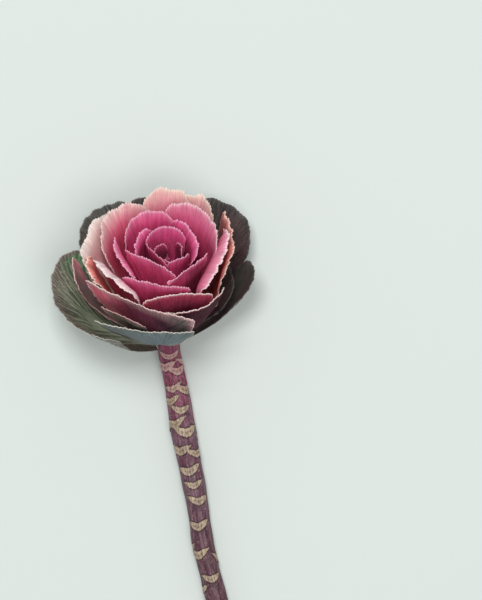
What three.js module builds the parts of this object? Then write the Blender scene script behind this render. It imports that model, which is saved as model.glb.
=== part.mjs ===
// Ornamental cabbage, one cut stem: a rose-like head of separate leaves on a bent, scarred stem.
// It lies on a surface with its rosette turned up. Millimetres, +Z up, the surface at z = 0.
import * as THREE from "three";

// ---- Driving dimensions -------------------------------------------------------------------------
const HEAD_BASE = new THREE.Vector3(8.25, 43.45, 12.1); // where the lowest leaf leaves the stem
const AXIS_RISE = 50; // degrees that the head's axis stands up from the surface
const CORE_RADIUS = 6.2; // the stem inside the head, at the lowest leaf
const CORE_TOP = 46; // where the core ends, along the head's axis
const CORE_TIP_RADIUS = 2.2;

const LEAF_THICKNESS = 1;
const LEAF_GAP = 0.5; // between a leaf's foot and the core
const LEAF_GRID = { green: [12, 7], edging: [12, 7], pink: [10, 6], heart: [8, 5] }; // columns, rows
const CORNER_POWER = 2.6; // 2 for an elliptic end to a leaf, more for a squarer one
const LIP_FROM = 0.72; // how far along the leaf its rolled edge begins
const WIDE_BASE = 0.7; // the angle most leaves cover at their foot, as a share of their edge's
const NORMAL_STEP = 0.01; // share of a leaf that its normals are measured over

const STEM_SIDES = 18;
const STEM_RINGS = 66;
const SCAR_STEP = 7.3; // along the stem, from one leaf scar to the next
const SCAR_TURN = 137.5; // degrees round the stem, from one leaf scar to the next
const SCAR_HEIGHT = 0.8;
const SCAR_LENGTH = 2.4; // from a scar's middle to its edge, along the stem
const SCAR_WIDTH = 4; // from a scar's middle to its edge, round the stem
const BUD_RADIUS = 2.8; // the closed bud inside the last leaves
const BUD_LENGTH = 28;

// ---- Materials ----------------------------------------------------------------------------------
const matt = (color, roughness) =>
  new THREE.MeshStandardMaterial({ color, roughness, metalness: 0 });
const MATERIALS = {
  green: matt(0x4b5d4c, 0.6),
  edging: matt(0x9c5a6c, 0.6),
  pink: matt(0xdc7c9c, 0.6),
  heart: matt(0xc23c7c, 0.6),
  stem: matt(0x7a4660, 0.7),
};

// ---- Leaves -------------------------------------------------------------------------------------
// azimuth: the leaf's middle, in degrees round the head's axis, from +X towards the lower side
// rim: radius of the leaf's edge at its clockwise end, its middle and its other end
// height: the edge above the head's base; width: half the leaf, measured round it
// foot: where the leaf leaves the core; lip: how far the edge rolls out
// corner: how much shorter the leaf's sides are than its middle, as a share of its length
// bowl: 0 for a cone, 1 for a round bowl; base: like WIDE_BASE, where the leaf's foot is narrower
const LEAVES = [
  ["green_leaf_left", "green", 189.5, [62.5, 62.8, 45], 48, 46.8, 0.5, 4, 0.12, 0.35],
  ["green_leaf_right", "green", 17, [44, 50, 50.5], 47, 14, 2, 2, 0.3, 0.4],
  ["green_leaf_back_left", "green", 120.5, [67.5, 73.9, 67], 43.4, 29, 5, 4, 0.25, 0.32],
  ["green_leaf_back_right", "green", 60, [60, 68, 67], 50, 28, 5.5, 4, 0.3, 0.6],
  ["green_leaf_front", "green", 255.2, [56.4, 49.8, 49], 69, 29, 9, 2, 0.1, 0.25, 0.1],
  ["edging_leaf_back", "edging", 103, [51, 52.5, 51], 67, 24, 8, 3, 0.3, 0.6],
  ["edging_leaf_front", "edging", 236, [47.5, 45.3, 46], 70, 15, 11.9, 1, 0.1, 0.28, 0.4],
  ["edging_leaf_left", "edging", 180.5, [53, 52, 51.5], 67, 10.4, 10.2, 2, 0.12, 0.6],
  ["edging_leaf_right", "edging", 20, [36, 38, 40], 46, 13, 10.8, 3, 0.3, 0.6],
  ["pink_leaf_outer_back", "pink", 69, [44.5, 47, 47], 76, 12.5, 11.6, 4, 0.25, 0.7],
  ["pink_leaf_front_right", "pink", 299.5, [35.2, 38.6, 36], 72, 21.3, 15.4, 2, 0.05, 0.5],
  ["pink_leaf_front_left", "pink", 243, [47.3, 36.4, 46], 74, 29.5, 14.2, 2, 0.04, 0.52],
  ["pink_leaf_left_low", "pink", 191.5, [44, 43.4, 39.6], 73, 14.4, 17, 4, 0.07, 0.52],
  ["pink_leaf_left_back", "pink", 157, [48, 46.5, 46.8], 76, 18.7, 15.2, 4, 0.1, 0.72],
  ["pink_leaf_right_low", "pink", 12.5, [32.8, 36.6, 48.5], 72.8, 24.5, 17.6, 3, 0.08, 0.7],
  ["pink_leaf_back", "pink", 91, [43, 47, 44], 78, 16, 18.3, 4, 0.2, 0.7],
  ["pink_leaf_mid_front_right", "pink", 281, [34, 28.8, 35.8], 77, 17.5, 19.4, 1, 0.1, 0.6],
  ["pink_leaf_mid_left", "pink", 210.5, [41, 34.4, 33.4], 77, 18.4, 20.5, 1.5, 0.05, 0.5],
  ["pink_leaf_back_left", "pink", 141, [41.8, 43, 32.6], 78, 29, 21.6, 4, 0.2, 0.7],
  ["pink_leaf_mid_right", "pink", 350, [30.2, 29.5, 37.4], 78, 22, 22.5, 3, 0.05, 0.6],
  ["heart_leaf_back_right", "heart", 48, [25.5, 34, 39.5], 80, 27, 24.2, 4, 0.2, 0.65],
  ["heart_leaf_front", "heart", 255, [29, 23.5, 25.8], 79, 18.3, 25.6, 1, 0.08, 0.7],
  ["heart_leaf_left", "heart", 191.5, [31, 25.6, 24.6], 80, 14.6, 27, 2.5, 0.03, 0.7],
  ["heart_leaf_back", "heart", 117, [28, 31, 26.5], 80, 21, 28, 3, 0.25, 0.75],
  ["heart_leaf_front_right", "heart", 314, [21.5, 18.2, 21.5], 81, 14, 29.5, 2, 0.03, 0.75],
  ["inner_leaf_right", "heart", 33, [14.4, 17.5, 26], 80, 16.2, 31, 2.5, 0.1, 0.8],
  ["inner_leaf_front_left", "heart", 230, [23.5, 12.5, 17.5], 83, 12, 32.5, 1, 0.08, 0.8],
  ["inner_leaf_left", "heart", 150, [22, 18.8, 17], 80, 12, 34, 2, 0.15, 0.8],
  ["inner_leaf_back", "heart", 96, [16.5, 17.5, 16.5], 80, 13, 36.5, 2, 0.1, 0.8],
  ["bud_leaf_left", "heart", 208, [14, 8, 9], 82, 9, 37, 0.5, 0.1, 0.8],
  ["bud_leaf_right", "heart", 317, [7, 8.4, 12], 80, 7, 38.5, 0.5, 0.1, 0.8],
  ["bud_leaf_back_right", "heart", 35, [8, 9.3, 11], 79, 5, 40, 0.5, 0.15, 0.8],
  ["bud_leaf_back_left", "heart", 130, [7, 7.3, 8], 79, 5, 41.5, 0.5, 0.15, 0.8],
  ["bud_leaf_front", "heart", 250, [4.4, 4.4, 4.6], 78, 4, 43, 0, 0.2, 0.8],
].map(([name, look, azimuth, rim, height, width, foot, lip, corner, bowl, base = WIDE_BASE]) => (
  { name, look, azimuth, rim, height, width, foot, lip, corner, bowl, base }
));

const mix = (a, b, share) => a + (b - a) * share;
const clamp = (x) => Math.min(1, Math.max(0, x));

/** Radius of the core at a height along the head's axis. */
const coreRadius = (height) => mix(CORE_RADIUS, CORE_TIP_RADIUS, clamp(height / CORE_TOP));

/** A leaf's middle surface in the head's frame: across runs from -1 to 1, along from foot 0 to edge 1. */
function leafPoint(leaf, across, along) {
  const arch = 1 - leaf.corner * (1 - (1 - Math.abs(across) ** CORNER_POWER) ** (1 / CORNER_POWER));
  const t = along * arch;
  const quarter = (t * Math.PI) / 2;
  const outward = mix(t, Math.sin(quarter), leaf.bowl);
  const upward = mix(t, 1 - Math.cos(quarter), leaf.bowl);
  const [first, middle, last] = leaf.rim;
  const rim =
    middle + ((last - first) / 2) * across + ((last + first) / 2 - middle) * across * across;
  const foot = coreRadius(leaf.foot) + LEAF_GAP + LEAF_THICKNESS / 2;
  const lip = leaf.lip * (1 - across * across);
  const roll = clamp((along - LIP_FROM) / (1 - LIP_FROM)) ** 2;
  const radius = mix(foot, rim - lip, outward) + lip * roll;
  const height = mix(leaf.foot, leaf.height, upward);
  const spread = Math.sin((Math.PI / 2) * along);
  const halfAngle = (leaf.width / middle) * mix(leaf.base, 1, spread);
  const angle = THREE.MathUtils.degToRad(leaf.azimuth) + across * halfAngle;
  return new THREE.Vector3(radius * Math.cos(angle), radius * Math.sin(angle), height);
}

/** The outward normal of a leaf's middle surface, from small steps that stay off its edges. */
function leafNormal(leaf, across, along) {
  const a = THREE.MathUtils.clamp(across, 2 * NORMAL_STEP - 1, 1 - 2 * NORMAL_STEP);
  const b = THREE.MathUtils.clamp(along, NORMAL_STEP, 1 - NORMAL_STEP);
  const sideways = leafPoint(leaf, a + NORMAL_STEP, b).sub(leafPoint(leaf, a - NORMAL_STEP, b));
  const lengthways = leafPoint(leaf, a, b + NORMAL_STEP).sub(leafPoint(leaf, a, b - NORMAL_STEP));
  return sideways.cross(lengthways).normalize();
}

/** Indexed triangles as a geometry with flat faces. */
function geometryOf(points, faces) {
  const geometry = new THREE.BufferGeometry().setFromPoints(points);
  geometry.setIndex(faces.flat());
  geometry.computeVertexNormals();
  return geometry;
}

/** A leaf as a closed sheet: an outer and an inner surface, joined all round the edge. */
function leafGeometry(leaf) {
  const [columns, rows] = LEAF_GRID[leaf.look];
  const points = [];
  for (const side of [0.5, -0.5]) {
    for (let row = 0; row <= rows; row++) {
      for (let column = 0; column <= columns; column++) {
        const across = Math.sin((Math.PI / 2) * ((2 * column) / columns - 1));
        const along = row / rows;
        const offset = leafNormal(leaf, across, along).multiplyScalar(side * LEAF_THICKNESS);
        points.push(leafPoint(leaf, across, along).add(offset));
      }
    }
  }
  const perRow = columns + 1;
  const perSide = perRow * (rows + 1);
  const outer = (row, column) => row * perRow + column;
  const faces = [];
  for (let row = 0; row < rows; row++) {
    for (let column = 0; column < columns; column++) {
      const [a, b] = [outer(row, column), outer(row, column + 1)];
      const [c, d] = [outer(row + 1, column), outer(row + 1, column + 1)];
      faces.push([a, b, d], [a, d, c]);
      faces.push([a + perSide, d + perSide, b + perSide], [a + perSide, c + perSide, d + perSide]);
    }
  }
  const border = [];
  for (let column = 0; column < columns; column++) border.push(outer(0, column));
  for (let row = 0; row < rows; row++) border.push(outer(row, columns));
  for (let column = columns; column > 0; column--) border.push(outer(rows, column));
  for (let row = rows; row > 0; row--) border.push(outer(row, 0));
  border.forEach((here, i) => {
    const next = border[(i + 1) % border.length];
    faces.push([here, here + perSide, next + perSide], [here, next + perSide, next]);
  });
  return geometryOf(points, faces);
}

// ---- Stem ---------------------------------------------------------------------------------------
// The stem's line from its cut end to the head's base, relative to the base.
const STEM_LINE = [
  [33, -172, -5.2],
  [26, -139, -5.2],
  [19.4, -112, -5],
  [15.8, -88, -4.5],
  [11.8, -66, -4.2],
  [8.2, -48, -4.4],
  [5.8, -32, -4.4],
  [3, -17, -3.7],
  [0.6, -5, -1.9],
].map((point) => new THREE.Vector3(...point));

/** The stem's middle line, from the cut end up through the head's core. */
function stemCurve() {
  const rise = THREE.MathUtils.degToRad(AXIS_RISE);
  const axis = new THREE.Vector3(0, Math.cos(rise), Math.sin(rise));
  const core = [4, 20, CORE_TOP].map((height) => axis.clone().multiplyScalar(height));
  return new THREE.CatmullRomCurve3([...STEM_LINE, ...core], false, "centripetal");
}

/** Radius of the bare stem, at a share of its length: a little thicker over its middle. */
const bareRadius = (share) =>
  mix(6.1, CORE_RADIUS, share) + 0.8 * Math.sin(Math.PI * clamp((share - 0.25) / 0.75)) ** 2;

/** How far the leaf scars stand out, at a distance from the cut end and an angle round the stem. */
function scarHeight(distance, angle, radius) {
  const nearest = Math.round(distance / SCAR_STEP);
  let height = 0;
  for (const scar of [nearest - 1, nearest, nearest + 1]) {
    const turn = angle - THREE.MathUtils.degToRad(scar * SCAR_TURN);
    const round = radius * Math.atan2(Math.sin(turn), Math.cos(turn));
    const along = distance - scar * SCAR_STEP;
    height += SCAR_HEIGHT * Math.exp(-((along / SCAR_LENGTH) ** 2) - (round / SCAR_WIDTH) ** 2);
  }
  return height;
}

/** The stem and the core in one: rings along the middle line, closed at both ends. */
function stemGeometry() {
  const curve = stemCurve();
  const bareLength = curve.getLength() - CORE_TOP;
  const frames = curve.computeFrenetFrames(STEM_RINGS, false);
  const points = [curve.getPointAt(0), curve.getPointAt(1)];
  for (let ring = 0; ring <= STEM_RINGS; ring++) {
    const middle = curve.getPointAt(ring / STEM_RINGS);
    const distance = (ring / STEM_RINGS) * (bareLength + CORE_TOP);
    const inHead = distance > bareLength;
    const bare = inHead ? coreRadius(distance - bareLength) : bareRadius(distance / bareLength);
    for (let side = 0; side < STEM_SIDES; side++) {
      const angle = (side / STEM_SIDES) * 2 * Math.PI;
      const radius = inHead ? bare : bare + scarHeight(distance, angle, bare);
      const point = middle.clone();
      point.addScaledVector(frames.normals[ring], radius * Math.cos(angle));
      point.addScaledVector(frames.binormals[ring], radius * Math.sin(angle));
      points.push(point);
    }
  }
  const at = (ring, side) => 2 + ring * STEM_SIDES + (side % STEM_SIDES);
  const faces = [];
  for (let side = 0; side < STEM_SIDES; side++) {
    faces.push([0, at(0, side + 1), at(0, side)]);
    faces.push([1, at(STEM_RINGS, side), at(STEM_RINGS, side + 1)]);
    for (let ring = 0; ring < STEM_RINGS; ring++) {
      const [a, b] = [at(ring, side), at(ring, side + 1)];
      const [c, d] = [at(ring + 1, side), at(ring + 1, side + 1)];
      faces.push([a, b, d], [a, d, c]);
    }
  }
  return geometryOf(points, faces);
}

/** The bud: an egg shape on the core's tip. */
function budGeometry() {
  const geometry = new THREE.SphereGeometry(1, 12, 8);
  geometry.rotateX(Math.PI / 2);
  geometry.scale(BUD_RADIUS, BUD_RADIUS, BUD_LENGTH / 2);
  geometry.translate(0, 0, CORE_TOP + LEAF_GAP + BUD_LENGTH / 2);
  return geometry;
}

// ---- The plant ----------------------------------------------------------------------------------
function named(name, geometry, look) {
  const mesh = new THREE.Mesh(geometry, MATERIALS[look]);
  mesh.name = name;
  return mesh;
}

const head = new THREE.Group();
head.rotation.x = THREE.MathUtils.degToRad(AXIS_RISE - 90);
for (const leaf of LEAVES) head.add(named(leaf.name, leafGeometry(leaf), leaf.look));
head.add(named("bud", budGeometry(), "heart"));

const plant = new THREE.Group();
plant.position.copy(HEAD_BASE);
plant.add(head, named("stem", stemGeometry(), "stem"));

const cabbage = new THREE.Group();
cabbage.add(plant);
export default cabbage;
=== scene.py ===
import math

import bpy
import numpy as np
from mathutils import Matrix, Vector
from mathutils.kdtree import KDTree


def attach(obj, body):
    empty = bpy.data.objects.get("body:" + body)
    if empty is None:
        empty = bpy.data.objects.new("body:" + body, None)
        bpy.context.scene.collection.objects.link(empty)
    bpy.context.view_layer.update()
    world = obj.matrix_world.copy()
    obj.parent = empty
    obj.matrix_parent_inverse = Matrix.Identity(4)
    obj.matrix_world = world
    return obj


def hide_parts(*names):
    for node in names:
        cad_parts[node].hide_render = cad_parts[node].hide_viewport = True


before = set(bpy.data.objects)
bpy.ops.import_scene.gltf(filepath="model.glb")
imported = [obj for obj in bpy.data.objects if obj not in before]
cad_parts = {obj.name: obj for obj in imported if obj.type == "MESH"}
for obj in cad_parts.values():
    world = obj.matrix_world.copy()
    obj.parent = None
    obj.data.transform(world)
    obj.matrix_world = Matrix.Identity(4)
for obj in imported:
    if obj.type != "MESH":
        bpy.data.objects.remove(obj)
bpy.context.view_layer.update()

# An ornamental cabbage: a rose-shaped head of leaves on a bare stem with leaf scars, lying down.
# Shapes are worked out in millimetres in the head's frame (X across, Y up the picture, Z along the
# head's axis), then turned into metres in the part's frame.
MM = 0.001

# ---- The head's frame, as in the CAD model ----
HEAD_BASE = np.array([8.25, 43.45, 12.1])
RISE = math.radians(50)  # of the head's axis from the floor
HEAD_AXES = np.array([
    [1, 0, 0],
    [0, math.sin(RISE), -math.cos(RISE)],
    [0, math.cos(RISE), math.sin(RISE)],
])
CORE_RADIUS = 6.2  # the stem inside the head, at the lowest leaf
CORE_TOP = 46.0
CORE_TIP_RADIUS = 2.2
LEAF_GAP = 0.5  # between a leaf's foot and the core
CAD_THICKNESS = 1.0
CORNER_POWER = 2.6  # 2 for an elliptic end to a leaf, more for a squarer one
LIP_FROM = 0.72  # how far along the leaf its rolled edge begins
WIDE_BASE = 0.7  # the angle most leaves cover at their foot, as a share of their edge's

# ---- Leaf detail ----
COLUMN_PITCH = 0.3  # between the mesh's columns at the leaf's edge
ROW_PITCH = 0.85  # between its rows halfway to the edge
ROW_CROWDING = 1.7  # above 1, rows are closer together towards the edge
FINE_ROWS = 0.3  # share of the rows, at the edge, that keep every column; the others keep half
COARSE_ROWS = 0.3  # share of the rows, at the foot, that keep a quarter of the columns
RAMP_DEPTH = 36.0  # mm from the edge that a look's ramp covers
THICKNESS = 0.6
EDGE_THICKNESS = 0.32
THINNING_REACH = 2.5  # from the edge
RIB_HEIGHT = 0.28  # of the veins, on a leaf's underside
TOOTH_PITCH = 1.55
TOOTH_REACH = 2.2  # how far from the edge the teeth still move the leaf
LOBE_PITCH = 11.0
LOBE_REACH = 9.0
RUFFLE_PITCH = 8.0
RUFFLE_REACH = 7.0
RUFFLE_FADE = 2.2  # how strongly the ruffles fade over that reach
FRILL_PITCH = 3.1
FRILL_REACH = 1.6
FRILL = 0.22
SWELL = 0.35  # of the slow undulation all over a leaf
PUCKER_SIZE = 1.7  # distance from a vein at which the blade between veins is fully raised
PUCKER_FROM = 3.0  # distance from the edge at which it is
CURL_LEAN = 0.3  # share of a curl by which it also draws the edge down
LONG_LEAF = 45.0  # a leaf longer than this has seven pairs of side veins, and others five
VEIN_FORKS = 3
# Widths of veins at their start and at their end.
MIDRIB_WIDTH = (1.1, 0.45)
SIDE_VEIN_WIDTH = (0.75, 0.4)
FORK_WIDTH = (0.42, 0.3)

# ---- Bud and stem detail ----
BUD_RADIUS = 2.8
BUD_LENGTH = 28.0
BUD_FOLDS = 3
BUD_SIDES = 60
BUD_RINGS = 44
# The CAD model's stem line, from the cut end to the head's base and relative to the base.
STEM_LINE = [
    (33, -172, -5.2), (26, -139, -5.2), (19.4, -112, -5), (15.8, -88, -4.5), (11.8, -66, -4.2),
    (8.2, -48, -4.4), (5.8, -32, -4.4), (3, -17, -3.7), (0.6, -5, -1.9),
]
STEM_SIDES = 112
STEM_RING_PITCH = 0.38
CUT_RADIUS = 5.7
NECK_RADIUS = 6.0  # of the stem, where it goes into the head
SWELLING = 1.0  # of the stem, halfway up its upper part
SWELLING_FROM = 0.4  # share of the way up the stem
RIDGE_HEIGHT = 0.1
KNOB_HEIGHT = 0.22
CUT_RINGS = 8
CUT_HOLLOW = 0.35  # how far the pith sinks in the cut end
BEVEL_LENGTH = 0.7
BEVEL_SHARE = 0.93  # of the stem's radius, at the end of the bevel
# The leaf scars that show from above: mm below the head's base, degrees round from the top.
TOP_SCARS = [
    (4.7, 0), (12, -40), (15.5, 20), (25, -16), (27, 49), (32, -43), (37.7, 2), (45, -34),
    (50.5, 13), (60, -34), (63, 40), (72, -8), (80, 0), (89, 9), (103, -10), (118.5, -38), (133, 0),
    (138, -85),
]
SCAR_STEP = 8.6  # along the stem, from one of the other scars to the next
SCAR_TURN = math.radians(137.5)
HIDDEN_FROM = math.radians(88)  # angle from the top past which a scar doesn't show from above
SCAR_SIZES = (0.8, 1.15)
SCAR_SPAN = 12.0  # along the stem, from a scar's middle to where it no longer counts
SCAR_HALF_WIDTH = 5.4
SCAR_THICKNESS = 3.2
SCAR_ARM = 8.0  # how far round the stem a scar's thin arms reach from its middle
SCAR_ARM_THICKNESS = 1.1
SCAR_RISE = 0.3  # how steeply the arms rise towards the head
SCAR_RISE_POWER = 1.3
SCAR_LEAN = 0.14
SCAR_LIP = 0.8
SCAR_LIP_LENGTH = 4.0
SCAR_HOLLOW = 0.2
SCAR_WEAR = 3.0  # how much of a scar's pale face is worn away in specks
OUTLINE_OFFSET = 0.25
OUTLINE_WIDTH = 0.5
DOT_PLACES = (-2.0, 0, 2.0)
DOT_RADIUS = 0.55
# Bark colours by mm below the head's base, and the paler streaks over them.
STEM_RAMP = 180.0
STEM_COLOURS = [
    (0, 0x8C3454), (22, 0x86324E), (45, 0x64364A), (95, 0x5C3646), (130, 0x4E2634), (180, 0x582C3C),
]
STEM_STREAKS = [
    (0, 0x9C6078), (30, 0x885A70), (60, 0x7E6470), (110, 0x72525E), (180, 0x684652),
]
# Across the cut end, by share of the way from its middle to its edge.
CUT_COLOURS = [
    (0, 0xE8E6CC), (0.55, 0xDEE0C0), (0.66, 0xB2BE8C), (0.8, 0xCED4AC), (0.93, 0x966E78),
    (1, 0x6E384C),
]
# Across each fold of the bud, from deep inside it to its edge.
BUD_COLOURS = [(0, 0x5C1830), (0.6, 0x8C2A4A), (0.9, 0xBE5074), (1, 0xD67896)]

# ---- Floor, light and camera ----
FLOOR_SIZE = 6.0
WORLD_STRENGTH = 0.4
# Soft lamps: name, place, size and power. They point at the head.
LAMPS = [
    ("key", (-0.15, 0.55, 1.9), 0.5, 18),
    ("fill", (0.35, -0.35, 1.9), 0.9, 9),
]
LAMPS_AIM = (0.01, 0.055, 0.05)
CAMERA_OVER = (0.0485, 0.0682)  # the point that the camera looks straight down on
CAMERA_HEIGHT = 4.0
SENSOR_WIDTH = 36.0
HEAD_MIDDLE = 0.05  # height above the floor
VIEW_HEIGHT = 0.33  # of the picture, at that height


# ---- The leaves' looks ----
def rgb(colour):
    """A colour written as sRGB in hexadecimal, as linear RGBA."""
    parts = [(colour >> shift & 255) / 255 for shift in (16, 8, 0)]
    return tuple(p / 12.92 if p < 0.04045 else ((p + 0.055) / 1.055) ** 2.4 for p in parts) + (1,)


FINISH = {
    "vein_share": 0.3,  # how far the veins' colour covers the leaf's
    "net": 0.25,  # the same for the net of fine veins
    "vein_width": 1.0,
    "streak": 0.5,  # contrast of the streaks along the veins
    "comb": 1.8,  # mm that lines from the notches carry the middle's colours outwards
    "dark": 0x601834,  # the darkest mottling
    "edge_width": 0.7,
    "bead": 0.1,  # how far the edge's colour covers the notches: low for a beaded edge
    "rough": 0.45,
    "gloss": 0.35,
    "tooth": 0.9, "lobe": 0.4, "ruffle": 0.35, "pucker": 0.26,  # sizes in mm
}
GREEN = {
    "tooth": 0.45, "lobe": 0.5, "comb": 0.5, "edge_width": 0.4, "rough": 0.5, "vein_width": 1.3,
    "bead": 0.6, "net": 0.55, "dark": 0x2C2A28,
}
PALE = {
    "tooth": 1.05, "lobe": 1.5, "ruffle": 0.5, "edge_width": 0.9, "streak": 0.35, "pucker": 0.14,
}
CREASED = {
    "bead": 0.6, "edge_width": 0.85, "tooth": 0.5, "lobe": 0.3, "ruffle": 0.25, "pucker": 0.2,
    "streak": 0.6,
}


def leaf_look(inner, outer, vein, edge, tints=(), base=None, **changes):
    """A leaf's colours and finish.

    inner and outer are its two faces' colours, as (mm from the leaf's edge, colour). tints are
    (middle, reach, depth, colour, share): where across the leaf, from -1 to 1, and from how many mm
    inside its edge another colour lies over them. base and changes come over the common finish.
    """
    colours = {"inner": inner, "outer": outer, "vein": vein, "edge": edge, "tints": tints}
    return {**colours, **FINISH, **(base or {}), **changes}


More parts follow.
